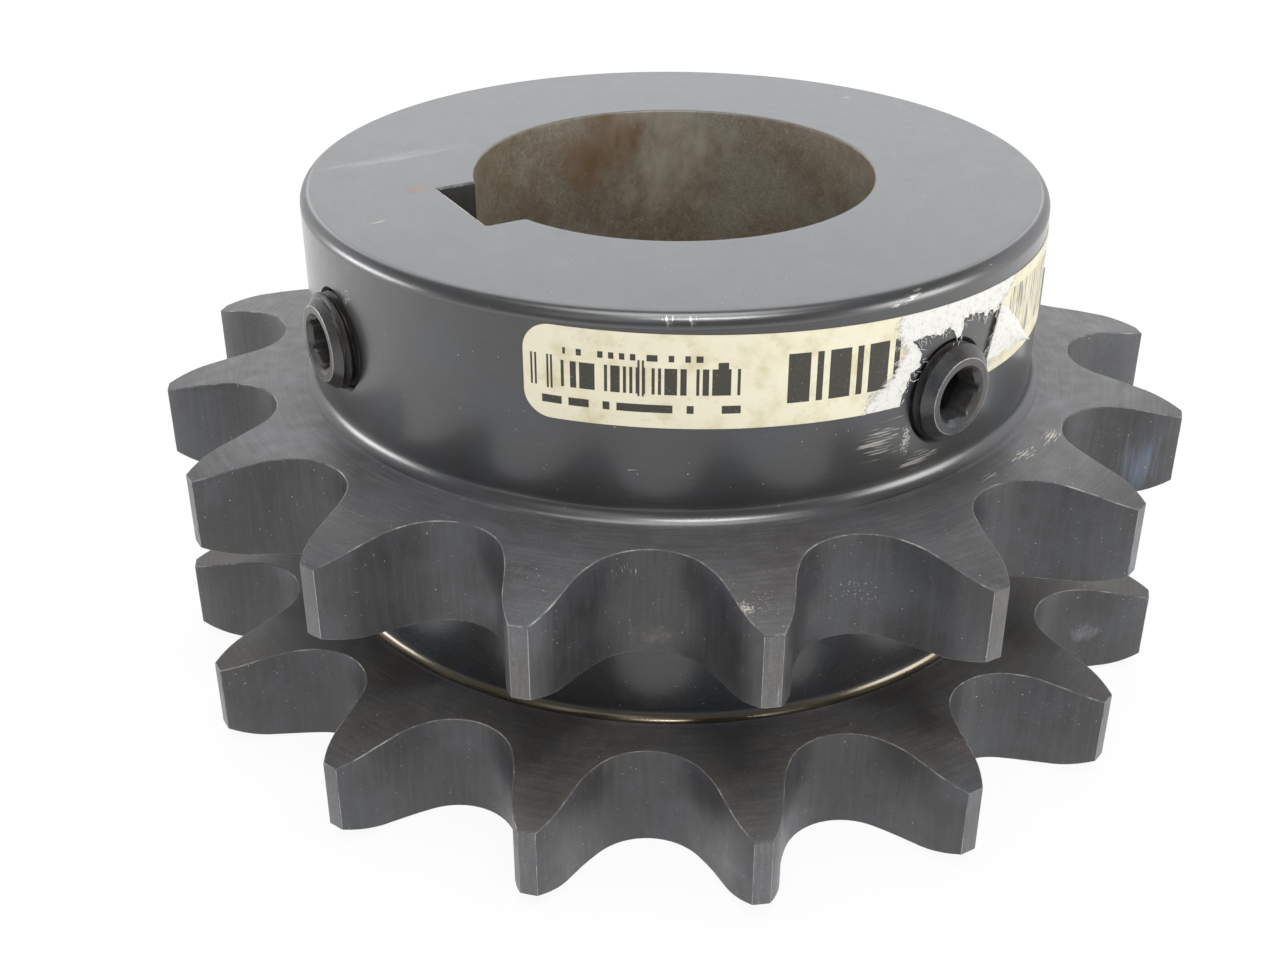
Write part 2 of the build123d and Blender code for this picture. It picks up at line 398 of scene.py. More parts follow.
def wornPatch(add, point, place, turn, size, grain, share, low=0.80, high=0.90):
    # short bright scratches round a place; the patch has axes of its own, X along its turn, Z up. Its size
    # is in mm, its grain is the noise for each mm, and its share is how much of its middle is worn
    local = add("Mapping", Vector=point, Location=place, Rotation=(0, 0, radians(turn)),
                vector_type="TEXTURE")
    near = add("VectorMath LENGTH", add("VectorMath DIVIDE", local, size), output=1)
    inside = add("MapRange", near, 0.1, 1.0, 1.0, 0.0, **smooth)
    streak = add("TexNoise", add("VectorMath MULTIPLY", local, grain), 1.0, 3.0, 0.6)
    total = add("Math MULTIPLY_ADD", inside, share, streak)
    total = add("MapRange", total, low, high, **smooth)
    inside = add("Math MULTIPLY", inside, 5.0, use_clamp=True)
    return add("Math MULTIPLY", total, inside)


def steelFinish(name, look, patches=(), stains=()):
    material, add = newMaterial(name)
    point = add("VectorMath SCALE", add("TexCoord", output="Object"), 1000.0)  # millimetres
    if look["marks"] == "turned":
        # fine rings round the axis, spaced by the radius on a face and by the height on a wall
        flat = add("VectorMath MULTIPLY", point, (1, 1, 0))
        radius = add("VectorMath LENGTH", flat, output=1)
        around = add("SeparateXYZ", add("VectorMath NORMALIZE", flat), output=None).outputs
        marks = add("CombineXYZ", add("Math ADD", radius, add("SeparateXYZ", point, output=2)),
                    add("Math MULTIPLY", around[0], 2.5), add("Math MULTIPLY", around[1], 2.5))
    else:
        # upright lines down a flank, or an even grain
        marks = add("VectorMath MULTIPLY", point, (1, 1, 0.07) if look["marks"] == "hobbed" else (1, 1, 1))
    # each noise has its scale for each mm, its detail and its roughness
    fine = add("TexNoise", marks, look["density"], 4.0, 0.6)
    broad = add("TexNoise", point, 0.075, 3.0, 0.6)
    mottle = add("TexNoise", point, 0.42, 6.0, 0.68)
    grain = add("TexNoise", point, 3.5, 3.0, 0.7)
    film = add("MapRange", add("Math MULTIPLY_ADD", mottle, 0.5, broad), 0.58, 0.84, **smooth)
    colour = add("Mix", film, linear(look["cool"]), linear(look["warm"]), **tint)
    pale = add("Math MULTIPLY_ADD", fine, 0.55, add("Math MULTIPLY", mottle, 0.45))
    pale = add("MapRange", pale, 0.42, 0.68, 0.0, look["lightShare"], **smooth)
    colour = add("Mix", pale, colour, linear(look["light"]), **tint)
    shade = add("MapRange", grain, 0.3, 0.7, 1 - look["grit"], 1 + look["grit"])
    colour = add("VectorMath SCALE", colour, shade)
    # bare steel shows where the film is rubbed through, and dust is caught in the oil
    bare = blotches(add, marks, look["wearScale"], 5.0, 0.7, *look["wear"])
    for patch in patches:
        bare = add("Math MAXIMUM", bare, wornPatch(add, point, *patch))
    for stainColour, *patch in stains:
        colour = add("Mix", wornPatch(add, point, *patch, 0.55, 1.15), colour, linear(stainColour), **tint)
    colour = add("Mix", bare, colour, linear(look["steel"]), **tint)
    speck = blotches(add, point, 4.6, 0.0, 0.5, *look["dust"])
    colour = add("Mix", speck, colour, linear("#c8c6c0"), **tint)
    rough, spread = look["rough"], look["roughSpread"] / 2
    rough = add("MapRange", mottle, 0.3, 0.7, rough - spread, rough + spread)
    height = add("Math MULTIPLY_ADD", grain, 0.6, fine)
    bump = add("Bump", Strength=1.0, Distance=look["marksDepth"] * mm, Height=height)
    shader = add("BsdfPrincipled", Base_Color=colour, Roughness=rough, Normal=bump, IOR=look["ior"],
                 Metallic=add("Math MULTIPLY", bare, look["metal"]), Specular_Tint=linear(look["sheen"]),
                 Coat_Weight=look["oil"], Coat_Roughness=look["oilRough"])
    add("OutputMaterial", Surface=shader)
    return material


def makeFinishes(base, looks):
    # a material for each zone of a piece
    return {zone: steelFinish(name, {**base, **changes}, *places)
            for zone, (name, changes, *places) in looks.items()}


def onHub(azimuth, height, *patch):
    # a patch on the hub's wall; its size and grain run round the hub, through its wall, and up
    turn, reach = radians(azimuth), sprocket["hubRadius"]
    return ((reach * cos(turn), reach * sin(turn), height), azimuth + 90, *patch)


# each zone has its material's name, what differs from the oxide above, its worn patches and its stains; a
# patch is a place, a turn, a size, a grain and a share, and a stain has its colour before those
plateTop = sprocket["strandSpacing"] + sprocket["plateThickness"]
endFace = sprocket["length"]
finishes = makeFinishes(oxide, {
    # turned faces of the tooth plates
    "face": ("blackOxideTurnedFace", {}, [
        ((22.0, -51.0, plateTop), 22, (6, 3, 1), (0.5, 3.5, 1), 0.33),
        ((28.5, -49.0, plateTop), 35, (6, 2.5, 1), (0.3, 4, 1), 0.34),
        ((14.5, -53.5, plateTop), 20, (6, 2, 1), (0.2, 4, 1), 0.29),
        ((-26.8, -62.5, plateTop - 1), 0, (2.4, 2.4, 3), (3.2, 3.2, 1), 0.38),
        ((-24.5, -62.5, plateTop - 1), 0, (6, 6, 4), (4, 4, 4), 0.2)]),
    "lower": ("brownedOxideFace", {"cool": "#454649", "warm": "#474340", "light": "#62605e"}),
    # steel that handling has rubbed bright along the teeth's rims and the tips' corners; the light colour is
    # also a painted highlight along these edges
    "edge": ("rubbedToothEdge", {
        "light": "#626264", "lightShare": 0.9, "marks": "even", "wearScale": 0.25, "wear": (0.44, 0.74)}, [
        ((-31.0, 0, endFace), 0, (8, 15, 2), (0.6, 0.6, 0.6), 0.5)]),
    "corner": ("rubbedTipCorner", {
        "light": "#8a8a8c", "lightShare": 0.9, "marks": "even", "wearScale": 0.3, "wear": (0.34, 0.60)}),
    # flanks cut by the hob, with upright marks
    "flank": ("blackOxideHobbedFlank", {
        "marks": "hobbed", "density": 1.6, "cool": "#3c3e44", "warm": "#302d2e", "light": "#545558",
        "lightShare": 0.35, "ior": 1.68, "dust": (0.85, 0.87)}, [
        ((-33.5, -47.3, 40.8), 0, (6, 4, 2), (4.5, 4.5, 0.5), 0.25),
        ((-7.5, -57.2, 35.5), 0, (8, 8, 7), (3.2, 3.2, 3.2), 0.20),
    ], [
        ("#5d697c", (46.3, -48.4, 34.5), -27, (4.5, 3, 7), (1.3, 1.3, 0.14), 0.40),
        ("#707073", (42.8, -46.6, 6.6), -25, (3.6, 3, 2.6), (0.8, 0.8, 0.6), 0.42),
        ("#5c564e", (-30.1, -48.5, 31.6), -32, (4.5, 3, 2.4), (0.9, 0.9, 0.9), 0.32)]),
    # the tips' lands, scraped by the chain
    "land": ("scrapedToothTip", {
        "marks": "hobbed", "cool": "#5c5e62", "warm": "#5b5957", "light": "#7a7978",
        "wear": (0.62, 0.80), "rough": 0.38}),
    # oxide on the small rounds took a polish
    "fillet": ("polishedBlackOxide", {
        "cool": "#1c2029", "warm": "#211f20", "light": "#2b2d33", "lightShare": 0.4, "rough": 0.30,
        "roughSpread": 0.04, "ior": 2.12, "marksDepth": 0.0006, "wear": (0.80, 0.9)}, [
        onHub(239.3, 69.3, (1.6, 3, 1.4), (3.5, 0.5, 0.9), 0.34),
        onHub(242.3, 69.3, (1.2, 3, 1.4), (3.5, 0.5, 0.9), 0.34),
        onHub(270.5, 68.6, (4.5, 4, 1.4), (0.9, 1, 3.0), 0.30),
        onHub(273.5, 69.3, (3.0, 4, 1.0), (0.5, 1, 3.0), 0.30)]),
    "neck": ("blackOxideNeck", {
        "cool": "#262b31", "warm": "#242120", "light": "#303338", "rough": 0.28, "roughSpread": 0.06,
        "ior": 1.75, "marksDepth": 0.001}),
    # in the neck's corners the film is thin and turns straw yellow
    "gleam": ("strawOxide", {
        "cool": "#1d1b19", "warm": "#241e17", "light": "#2f2a22", "rough": 0.21, "roughSpread": 0.04,
        "ior": 2.3, "marksDepth": 0.0006, "sheen": "#f6e8cc"}),
    "hub": ("blackOxideHub", {
        "cool": "#20242c", "warm": "#1f1c19", "light": "#2c2f34", "rough": 0.46, "roughSpread": 0.10,
        "ior": 1.65, "marksDepth": 0.002, "oil": 1.0}, [
        onHub(269.5, 51.2, (7.5, 6, 5.2), (0.16, 0.16, 3.4), 0.33),
        onHub(277.0, 47.0, (8.0, 6, 2.6), (0.16, 0.16, 3.4), 0.34),
        onHub(273.6, 50.4, (1.6, 4, 4.6), (2.6, 1.0, 2.6), 0.38),
        onHub(187.3, 63.2, (2.6, 3.5, 3.6), (2.4, 0.6, 2.4), 0.29),
        onHub(235.5, 50.4, (5.0, 3.5, 0.9), (0.4, 0.3, 7.0), 0.22),
    ], [("#14120e", *onHub(283.0, 61.6, (11.0, 8, 5.5), (0.9, 0.9, 0.9), 0.75))]),
    # the end face is faced finer, and mirrors more
    "end": ("blackOxideEndFace", {
        "cool": "#343e46", "warm": "#3a3f43", "light": "#484e54", "lightShare": 0.35, "rough": 0.36,
        "roughSpread": 0.05, "ior": 1.66, "marksDepth": 0.003, "wear": (0.86, 1.0)}, [
        ((-43.5, -0.3, endFace), 8, (4, 0.8, 1), (0.3, 4, 1), 0.30),
        ((40.9, 17.3, endFace), -20, (4, 1.5, 1), (0.4, 2, 1), 0.26),
    ], [
        ("#5a2a1c", (-34.2, 9.3, endFace), 10, (2.6, 1.5, 1), (1, 1.5, 1), 0.9),
        ("#6a6c6e", (-32.5, 22.7, endFace), 3, (17, 2.6, 1), (0.1, 0.8, 1), 0.38),
        ("#4a4138", (-39.8, 26.8, endFace), 20, (3.5, 1.6, 1), (1, 1, 1), 0.30)]),
    # the bore is honed bare and oiled, and stained brown
    "bore": ("oiledBoreSteel", {
        "marks": "even", "density": 0.9, "cool": "#7b766a", "warm": "#6c604f", "light": "#928d7d",
        "steel": "#a59d8c", "wear": (0.66, 0.9), "rough": 0.38, "metal": 0.8, "grit": 0.35}, [], [
        # the first is a large paler patch high on the bore's back wall, the second a brown stain
        ("#979182", (12.9, 24.3, 64.0), -28, (18, 9, 18), (0.3, 0.3, 0.2), 0.40),
        ("#6a523a", (2.4, 27.4, 65.0), 0, (13, 8, 12), (0.24, 0.24, 0.14), 0.46)]),
    "keyway": ("blackOxideKeyway", {
        "marks": "even", "cool": "#2c2b2b", "warm": "#2f2924", "light": "#403d39"}),
})
print("steel finishes:", len(finishes))
body = makeSprocket(finishes)
drillHoles(body, finishes["flank"])
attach(body, "sprocket")
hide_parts("sprocket")


# lengths in millimetres, angles in degrees
screw = {
    "radius": 6.35, "length": 19.05, "chamfer": 1.42, "pitch": 25.4 / 20, "threadDepth": 0.6,
    "threadLand": 0.15,  # the flat share of half a thread, at its root and at its crest
    "acrossFlats": 6.35, "socketDepth": 7.0, "leadIn": 3.96, "cup": 3.0, "cupLand": 0.2, "drillAngle": 118,
    "rimRound": 0.12, "rimReach": 0.04, "rimSlant": 0.6, "faceInset": 0.10,
    "columns": 120, "ringsPerTurn": 16,
}


def makeScrew(name, place, materials):
    # rings round the screw's axis, from the cup point up the thread and down into the hexagon socket; the
    # thread's radius is a clipped triangle wave of the height less the turn
    s = SimpleNamespace(**screw)
    names = list(materials)
    turn = radians(place["turn"])
    angle = turn + np.arange(s.columns) * 2 * pi / s.columns
    hexagon = s.acrossFlats / 2 / np.cos((angle - turn) % (pi / 3) - pi / 6)
    top = sprocket["hubRadius"] + place["projection"]
    point = top - s.length
    slope = tan(radians(s.drillAngle / 2))
    rows, bands = [], []

    def addRing(radius, height, band):
        rows.append(raised(circle(angle) * np.broadcast_to(radius, angle.shape)[:, None], height))
        bands.append(names.index(band))

    for share in (0.01, 0.5, 1.0):
        addRing(s.cup * share, point + s.cup * (1 - share) / slope, "face")
    addRing(s.cup + s.cupLand, point, "thread")
    rim = s.radius - s.chamfer
    shank = s.length - s.rimRound * 2
    for depth in np.linspace(0, shank, int(shank / s.pitch * s.ringsPerTurn))[1:]:
        wave = 1 - np.abs(2 * (((point + depth) / s.pitch - angle / (2 * pi)) % 1) - 1)
        crest = np.clip((wave - s.threadLand) / (1 - 2 * s.threadLand), 0, 1)
        below, above = s.cup + s.cupLand + depth, rim + (s.length - depth)  # the two ends' cones
        addRing(np.minimum(s.radius - s.threadDepth * (1 - crest), min(below, above)), point + depth,
                "thread" if above > s.radius else "chamfer")
    # the rim's round, whose light colour is partly a painted highlight
    for a in np.radians((45, 68, 90)):
        reach = rim - s.rimRound * (1 - cos(a)) * s.rimSlant + s.rimReach
        addRing(reach, top - s.rimRound * (1 - sin(a)), "rim")
    addRing(rim - s.faceInset, top, "face")
    for depth in (0.0, 0.06, 0.2, 0.4, 0.725):
        addRing(np.maximum(hexagon, s.leadIn - depth), top - depth, "face")
    for share in (0.5, 1.0):
        addRing(hexagon, top - s.socketDepth * share, "socket")
    for share in (1.0, 0.5, 0.01):
        addRing(np.minimum(hexagon, s.acrossFlats / 2 - 0.01) * share,
                top - s.socketDepth - s.acrossFlats / 2 * (1 - share) / slope, "socket")

    count = len(rows) * s.columns
    faces = ringFaces(len(rows), s.columns).tolist()
    faces += [list(range(s.columns - 1, -1, -1)), list(range(count - s.columns, count))]
    numbers = np.append(np.repeat(bands[:-1], s.columns), [names.index("face"), names.index("socket")])
    piece = meshFrom(name, placeOnHub(np.stack(rows), place), faces, materials.values(), numbers, 32)
    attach(piece, place["node"])
    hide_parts(place["node"])
    print(name, "faces", len(faces))


# the same oxide on alloy steel, darker and matt in the thread
screwOxide = {
    **oxide, "marks": "even", "steel": "#adaeac", "density": 2.4, "rough": 0.30, "ior": 1.65,
    "cool": "#2a2c31", "warm": "#302b27", "light": "#45464a",
}
screwFinishes = makeFinishes(screwOxide, {
    "thread": ("blackOxideThread", {
        "cool": "#1b1a1a", "warm": "#231d18", "light": "#2b2826", "rough": 0.42, "ior": 1.45}),
    "chamfer": ("blackOxideChamfer", {"cool": "#292b2f", "warm": "#2d2a27"}),
    "face": ("blackOxideScrewFace", {
        "cool": "#3c3e41", "warm": "#3f3b36", "light": "#5c5c5c", "wear": (0.62, 0.9)}),
    # the rim is rubbed bright, and its light colour is also a painted highlight
    "rim": ("rubbedScrewRim", {"wearScale": 0.3, "wear": (0.32, 0.56), "light": "#7a7a7c"}),
    "socket": ("socketOxide", {"cool": "#1f1d1c", "warm": "#2e2721", "light": "#3b342d"}),
})
for name, place in setScrews.items():
    makeScrew(name, place, screwFinishes)


# places below are in millimetres from the shaft screw's axis: round the hub's surface, and up
label = {
    "length": 102.0, "width": 11.7, "corner": 3.3, "tilt": 1.65, "start": 220.3, "height": 60.9,
    "paper": 0.12, "glue": 0.02, "seed": 5,
    "spacing": 1.5, "fineSpacing": 0.4, "fineReach": 15.0, "fineHeights": (-2, 13),  # finer near the screw
    "edgeSpacing": 0.45, "tearSpacing": 0.26,
    "fibres": 260, "fibreLength": (0.35, 1.3), "fibreWidth": 0.045,
    "tear": [(-8.5, -1.6), (-7.7, 1.7), (-6.6, 4.3), (-5.5, 4.7), (-5.3, 6.6), (-6.9, 8.4), (-4.4, 8.5),
             (-2.5, 8.1), (-1.0, 8.7), (0.2, 7.7), (0.5, 6.75), (1.2, 6.8), (1.5, 7.7), (1.7, 9.0),
             (2.8, 9.2), (5.6, 8.7), (6.0, 8.1), (7.4, 8.4), (8.7, 7.6), (9.5, 8.3), (9.3, 6.6), (8.9, 5.2),
             (7.6, 3.2), (7.9, -1.8)],
    "peelLeft": [(-13.4, -1.5), (-13.0, 1.0), (-12.2, 2.6), (-10.8, 3.3), (-9.9, 4.1), (-8.9, 5.5),
                 (-7.7, 7.2), (-8.4, 8.4), (-8.9, 9.5), (-9.3, 10.7), (-8.0, 13.5)],
    "peelRight": [(9.4, 8.2), (10.0, 9.0), (11.2, 9.6), (12.4, 10.2), (14.0, 13.5)],
    "peelFoot": (8.0, -4.0),  # closes the peeled patch under the screw
    # the flap that is folded back past the screw: its fold and its free point, and how far it stands off
    "fold": ((9.7, 8.7), (7.3, 2.0)), "flapTip": (17.0, 1.4), "flapLift": 1.3, "flapBow": 0.4,
    "fibreDepth": 3.0, "flapDepth": 6.0,  # they count as this deep in the peeled patch, so they are white
}
hubRadius, shaftScrew = sprocket["hubRadius"], setScrews["shaftSetScrew"]
middleAlong = radians(label["start"] - shaftScrew["azimuth"]) * hubRadius + label["length"] / 2


def waves(points, wavelength, seed):
    # smooth noise from about -1 to 1: plane waves in random directions, added up
    random = np.random.default_rng(seed)
    turn, phase = random.uniform(0, 2 * pi, (2, 9))
    stretch = 2 * pi / wavelength * random.uniform(0.6, 1.5, 9)
    flow = points[..., :1] * np.cos(turn) * stretch + points[..., 1:2] * np.sin(turn) * stretch
    return np.sin(flow + phase).mean(-1) * 2.2


def resample(corners, spacing):
    # points at an even spacing along a line of corners
    corners = np.asarray(corners, float)
    run = np.concatenate([[0], np.cumsum(np.linalg.norm(np.diff(corners, axis=0), axis=1))])
    at = np.linspace(0, run[-1], max(2, int(run[-1] / spacing) + 1))
    return np.stack([np.interp(at, run, corners[:, 0]), np.interp(at, run, corners[:, 1])], -1)


def insideOf(points, corners):
    # even-odd rule: count the outline's edges that lie to the right of each point
    start = np.asarray(corners, float)
    end = np.roll(start, -1, axis=0)
    x, y = points[:, :1], points[:, 1:2]
    spans = (start[:, 1] > y) != (end[:, 1] > y)
    with np.errstate(divide="ignore", invalid="ignore"):
        crossing = start[:, 0] + (y - start[:, 1]) / (end[:, 1] - start[:, 1]) * (end[:, 0] - start[:, 0])
    return (spans & (x < crossing)).sum(1) % 2 == 1


def distanceTo(points, corners):
    # the least distance from each point to a line of corners
    corners = np.asarray(corners, float)
    start, step = corners[:-1], np.diff(corners, axis=0)
    away = points[:, None] - start
    share = np.clip((away * step).sum(-1) / (step ** 2).sum(-1), 0, 1)
    return np.linalg.norm(away - share[..., None] * step, axis=-1).min(1)


def grid(left, right, bottom, top, spacing):
    columns, rows = np.meshgrid(np.arange(left, right, spacing), np.arange(bottom, top, spacing))
    return np.stack([columns, rows], -1).reshape(-1, 2)


def labelMiddle(along):
    # height of the label's middle line over the screw's axis; it is straight when seen from in front
    fall = tan(radians(label["tilt"])) * hubRadius * np.sin((along - middleAlong) / hubRadius)
    return label["height"] - shaftScrew["height"] - fall


def roundHub(plan, lift):
    # from places round the shaft screw, and a height over the hub's surface, to the part's frame
    angle = radians(shaftScrew["azimuth"]) + plan[..., 0] / hubRadius
    reach = hubRadius + lift
    return np.stack([reach * np.cos(angle), reach * np.sin(angle), plan[..., 1] + shaftScrew["height"]], -1)


def labelOutline():
    # counter-clockwise: the plain outline with its round corners, broken by the torn edge round the screw
    half, wide, corner = label["length"] / 2, label["width"] / 2, label["corner"]
    turn = np.radians(np.array([[-90], [0], [90], [180]]) + np.linspace(0, 90, 13))
    centres = np.array([[1, -1], [1, 1], [-1, 1], [-1, -1]]) * (half - corner, wide - corner)
    plain = (centres[:, None] + corner * circle(turn)).reshape(-1, 2) + (middleAlong, 0)
    tear = resample(label["tear"], label["tearSpacing"])
    jitter = np.stack([waves(tear, 1.3, 3), waves(tear, 1.1, 4)], -1) * 0.17
    jitter += np.stack([waves(tear, 0.5, 8), waves(tear, 0.45, 9)], -1) * 0.09
    tear[1:-1] += jitter[1:-1]
    tear = tear[tear[:, 1] > labelMiddle(tear[:, 0]) - wide + 0.05]
    # the plain part starts and ends on the lower edge, beside the tear's two ends
    before = np.array([[tear[0, 0] - 0.05, -wide]])
    after = np.array([[tear[-1, 0] + 0.05, -wide]])
    around = resample(np.concatenate([after, plain, before]), label["edgeSpacing"])
    around[:, 1] += labelMiddle(around[:, 0])
    return np.concatenate([around, tear])


def thicken(plan, outer, inner, faces, rim, depth):
    # a sheet's outer and inner side, at these heights over the hub, and the strip along its rim
    count, nextRim = len(plan), np.roll(rim, -1)
    strip = np.stack([rim, rim + count, nextRim + count, nextRim], -1)
    return (np.concatenate([roundHub(plan, outer), roundHub(plan, inner)]),
            faces.tolist() + (faces[:, ::-1] + count).tolist() + strip.tolist(),
            np.tile(depth, 2), np.tile(plan, (2, 1)))


def labelSheet():
    # the outline is filled with triangles, laid over the hub, and given its thickness
    outline = labelOutline()
    (left, bottom), (right, top) = outline.min(0), outline.max(0)
    random = np.random.default_rng(label["seed"])
    coarse = grid(left, right, bottom, top, label["spacing"])
    reach = label["fineReach"]
    fine = grid(-reach, reach, *label["fineHeights"], label["fineSpacing"])
    fine += random.uniform(-0.12, 0.12, fine.shape)
    inner = np.concatenate([coarse[np.abs(coarse[:, 0]) > reach + 0.5], fine])
    inner = inner[insideOf(inner, outline)]
    inner = inner[distanceTo(inner, np.concatenate([outline, outline[:1]])) > 0.2]
    rim = np.arange(len(outline))
    made = delaunay_2d_cdt([Vector(p) for p in np.concatenate([outline, inner]).tolist()],
                           np.stack([rim, np.roll(rim, -1)], -1).tolist(), [], 1, 1e-5)
    plan = np.array([tuple(v) for v in made[0]])
    triangles = np.array(made[2])
    a, b, c = (plan[triangles[:, i]] for i in range(3))
    area = (b[:, 0] - a[:, 0]) * (c[:, 1] - a[:, 1]) - (b[:, 1] - a[:, 1]) * (c[:, 0] - a[:, 0])
    triangles = np.where((area < 0)[:, None], triangles[:, ::-1], triangles)
    # how far each point lies inside the patch that is peeled down to white fibres; less than 0 outside it
    depth = np.minimum(distanceTo(plan, label["peelLeft"]), distanceTo(plan, label["peelRight"]))
    patch = label["peelLeft"] + label["peelRight"][::-1] + [label["peelFoot"]]
    depth = np.where(insideOf(plan, patch), depth, -depth)
    # the printed skin is gone there, and the fibres stand up; elsewhere the paper is a little cockled
    white = np.clip(depth / 0.4 + 0.5, 0, 1)
    fuzz = waves(plan, 1.1, 21) * 0.5 + waves(plan, 0.6, 22) * 0.5
    lift = label["glue"] + label["paper"] * (1 - 0.35 * white) + white * 0.07 * fuzz
    lift = np.maximum(lift + 0.02 * waves(plan, 6.0, 23) * (1 - white), label["glue"] + 0.03)
    return thicken(plan, lift, label["glue"], triangles, rim, depth)


def labelFibres():
    # torn fibres along the tear and the peeled patch's border: each is a thin bent cone of three sides
    random = np.random.default_rng(label["seed"] + 1)
    tear, border = resample(label["tear"], 0.05), resample(label["peelLeft"], 0.05)
    tear = tear[tear[:, 1] > 0.2]
    border = border[(border[:, 1] > 0.6) & (border[:, 1] < 11.0)]
    count, rings = label["fibres"], 4
    fromTear = random.random(count) < 0.62
    start = np.where(fromTear[:, None], tear[random.integers(0, len(tear), count)],
                     border[random.integers(0, len(border), count)])
    start += random.uniform(-0.5, 0.5, start.shape)
    aim = np.where(fromTear, random.uniform(0, 2 * pi, count), radians(200) + random.normal(0, 0.5, count))
    long = random.uniform(*label["fibreLength"], count)
    bend = random.normal(0, 0.9, count)
    step = np.linspace(0, 1, rings)[None, :]
    heading = aim[:, None] + bend[:, None] * step
    middle = start[:, None] + np.cumsum(circle(heading), axis=1) * (long / rings)[:, None, None]
    lift = label["glue"] + 0.10 + random.uniform(0.0, 0.35, count)[:, None] * step ** 1.5
    thick = label["fibreWidth"] * (1 - 0.75 * step)
    corner = np.radians([90, 210, 330])
    across = circle(heading + pi / 2)
    plan = middle[:, :, None] + across[:, :, None] * (thick[..., None] * np.cos(corner))[..., None]
    height = lift[:, :, None] + thick[..., None] * np.sin(corner)
    first = np.arange(count)[:, None, None] * 3 * rings
    faces = (first + ringFaces(rings, 3)[:, ::-1]).reshape(-1, 4).tolist()
    faces += (first + np.array([[0, 1, 2], [11, 10, 9]])).reshape(-1, 3).tolist()  # the two ends
    flat = plan.reshape(-1, 2)
    return roundHub(flat, height.ravel()), faces, np.full(len(flat), label["fibreDepth"]), flat


def labelFlap():
    # the flap runs from its fold to its point; it leaves the fold with a tight curl and bows off the hub, and
    # its thickness is the paper's
    run, across = np.meshgrid(np.linspace(0, 1, 22), np.linspace(0, 1, 14), indexing="ij")
    top, bottom = (np.array(p) for p in label["fold"])
    curl = np.clip(run / 0.12, 0, 1)
    out = np.clip((run - 0.04) / 0.96, 0, 1)
    base = top + across[..., None] * (bottom - top)
    plan = base * (1 - out[..., None]) + np.array(label["flapTip"]) * out[..., None]
    plan[..., 0] -= 0.45 * np.sin(pi * curl) * (1 - across * 0.3)
    plan[..., 1] += label["flapBow"] * np.sin(pi * out) * across ** 1.5
    plan[..., 0] += 0.10 * waves(plan, 2.4, 31) * out
    ragged = (np.abs(across - 0.5) * 2) ** 4 * np.sqrt(out * (1 - out)) * 2
    plan[..., 1] += 0.22 * waves(plan, 1.6, 32) * ragged
    lift = label["glue"] + label["paper"] + 0.02 + 0.40 * (1 - np.cos(pi * curl)) / 2
    arch = 0.55 + 0.45 * np.cos(pi * (across - 0.45))
    lift = lift + (label["flapLift"] - 0.4) * np.sin(pi / 2 * out) * arch
    lift = lift + 0.10 * waves(plan, 3.0, 33) * out
    index = np.arange(run.size).reshape(run.shape)
    corners = [index[:-1, :-1], index[:-1, 1:], index[1:, 1:], index[1:, :-1]]
    quads = np.stack(corners, -1).reshape(-1, 4)
    rim = np.concatenate([index[0, :-1], index[:-1, -1], index[-1, :0:-1], index[:0:-1, 0]])
    lift = lift.ravel()
    depth = np.full(run.size, label["flapDepth"])
    return thicken(plan.reshape(-1, 2), lift + label["paper"], lift, quads, rim, depth)


def makeLabel(material):
    # each part has its points, its faces, how far each point lies in the peeled patch, and its place in plan
    parts = [labelSheet(), labelFibres(), labelFlap()]
    starts = np.cumsum([0] + [len(part[0]) for part in parts[:-1]]).tolist()
    faces = [[corner + start for corner in face] for part, start in zip(parts, starts) for face in part[1]]
    points, depth, plan = (np.concatenate([part[i] for part in parts]) for i in (0, 2, 3))
    piece = meshFrom("paperLabel", points, faces, [material], None, 50)
    mesh = piece.data
    mesh.attributes.new("peeled", "FLOAT", "POINT").data.foreach_set("value", depth.astype(np.float32))
    flat = np.stack([plan[:, 0] - middleAlong, plan[:, 1] - labelMiddle(plan[:, 0])], -1) / label["length"]
    corner = np.zeros(len(mesh.loops), np.int32)
    mesh.loops.foreach_get("vertex_index", corner)
    mesh.uv_layers.new(name="plan").data.foreach_set("uv", flat[corner].astype(np.float32).ravel())
    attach(piece, "sprocket")
    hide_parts("label")
    print("label:", len(points), "points", len(faces), "faces")


# printed in plain bars and blocks, in millimetres from the label's middle
printed = {
    # the bottom and top of some bars, and the left and right of each
    "bars": {(-1.8, 2.2): [(-50.1, -49.85), (-49.6, -49.35)], (-2.0, 2.2): [(-48.15, -47.9), (-47.7, -47.45)],
             (-1.6, 2.5): [(-28.5, -27.3)], (-1.9, 2.6): [(-37.6, -37.35), (-37.1, -36.85)],
             (-3.0, 3.2): [(-20.4, -17.7), (-16.9, -16.1), (-15.3, -12.6), (-11.8, -11.0), (-10.2, -7.5),
                           (-6.7, -5.9)]},
    # rows of bars: their left, right, bottom and top, a cell's width, and the share of cells that is inked
    "rows": [((-46.6, -25.7, -1.6, 1.7), 0.36, 0.55), ((-46.2, -30.2, 2.5, 3.3), 0.62, 0.60),
             ((-49.0, -25.8, -3.9, -2.9), 0.80, 0.66)],
    "scuff": (15.0, 45.0, -3.6, 4.2),
    "ink": "#33302b", "paper": "#e6e0c7", "stain": "#cdbf97", "soot": "#8f8878", "scuffed": "#605e66",
    "fibre": "#e6e5e0", "fibreShade": "#c6c2b3",
}


